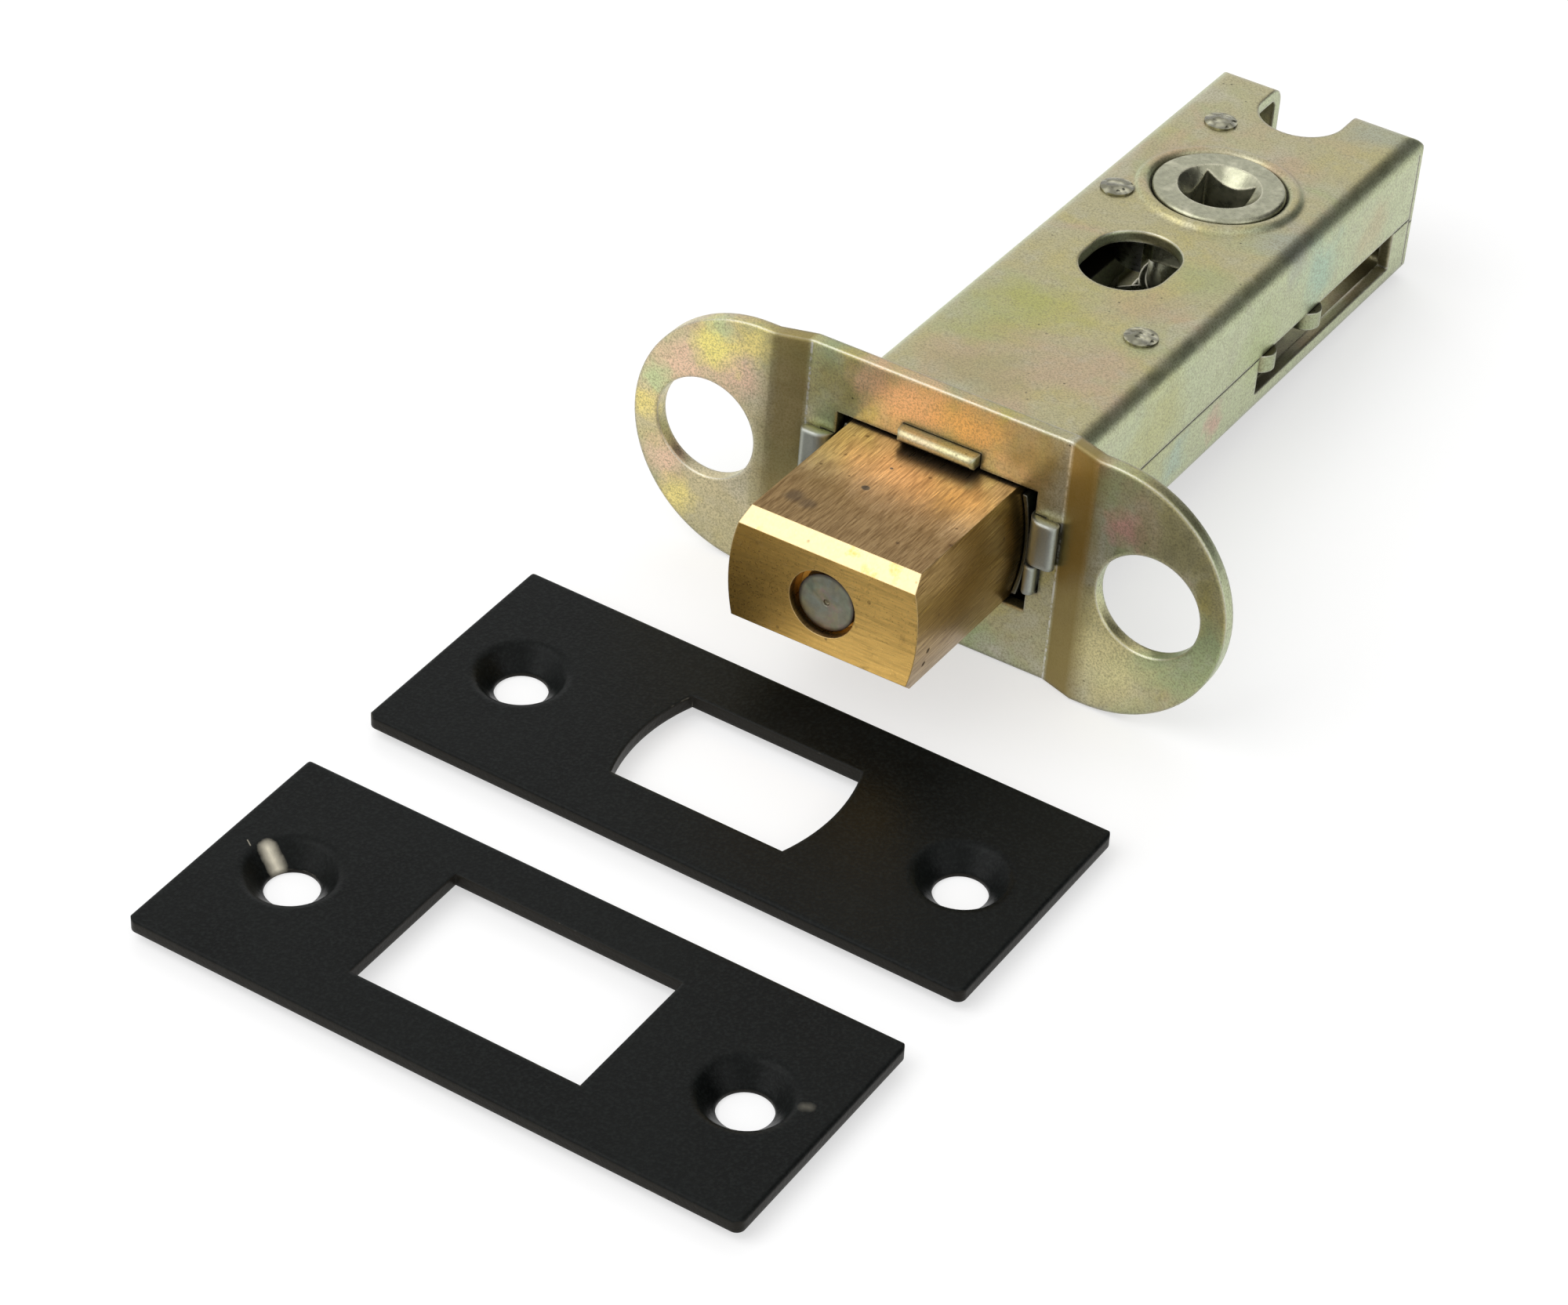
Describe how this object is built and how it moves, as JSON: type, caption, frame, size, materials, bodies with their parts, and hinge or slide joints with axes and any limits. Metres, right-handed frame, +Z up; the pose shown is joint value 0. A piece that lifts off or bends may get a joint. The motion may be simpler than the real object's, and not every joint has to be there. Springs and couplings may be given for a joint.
{
  "type": "tubular deadbolt",
  "caption": "Tubular deadbolt: brass bolt thrown out of a folded steel case by a square-hole follower, sheet forend, with a black face plate and strike plate beside it.",
  "frame": {"origin": "on the table, under the middle of everything as it lies in the picture", "axes": "+X along the forend and the plates, +Y from the plates back along the case, +Z up from the table"},
  "size_m": [0.0624, 0.149, 0.0251],
  "materials": {
    "passivated_steel": "zinc-plated sheet steel with a yellow iridescent passivate, satin",
    "brass": "sawn and milled brass, dull along the sides, bright on the end",
    "plated_pin": "zinc-plated steel pin",
    "plated_cast": "plated zinc casting, satin",
    "spring_steel": "spring steel strip",
    "black_coating": "matt to satin black powder coat"
  },
  "bodies": {
    "case": {"upper_case": "passivated_steel", "lower_case": "passivated_steel", "forend": "passivated_steel", "bolt_guide": "passivated_steel", "front_pillar": "plated_pin", "side_pin": "plated_pin", "rear_pillar": "plated_pin", "detent_spring": "spring_steel", "face_plate": "black_coating", "strike_plate": "black_coating"},
    "bolt": {"bolt": "brass", "anti_saw_pin": "plated_pin", "slider": "passivated_steel", "tail_rivet_left": "plated_pin", "tail_rivet_right": "plated_pin"},
    "follower": {"follower": "plated_cast"}
  },
  "joints": [
    {"name": "bolt_throw", "type": "slide", "parent": "case", "child": "bolt", "axis": [0, 0.9979, -0.0652], "range_m": [0, 0.015]},
    {"name": "follower_turn", "type": "hinge", "parent": "case", "child": "follower", "pos_m": [0.00118, 0.05186, 0.00911], "axis": [0, 0.0652, 0.9979], "range_deg": [-93.5, 0], "deforming": ["detent_spring"]}
  ],
  "couplings": [
    {"joint": "follower_turn", "follows": "bolt_throw", "rad_per_m": -108.75}
  ]
}
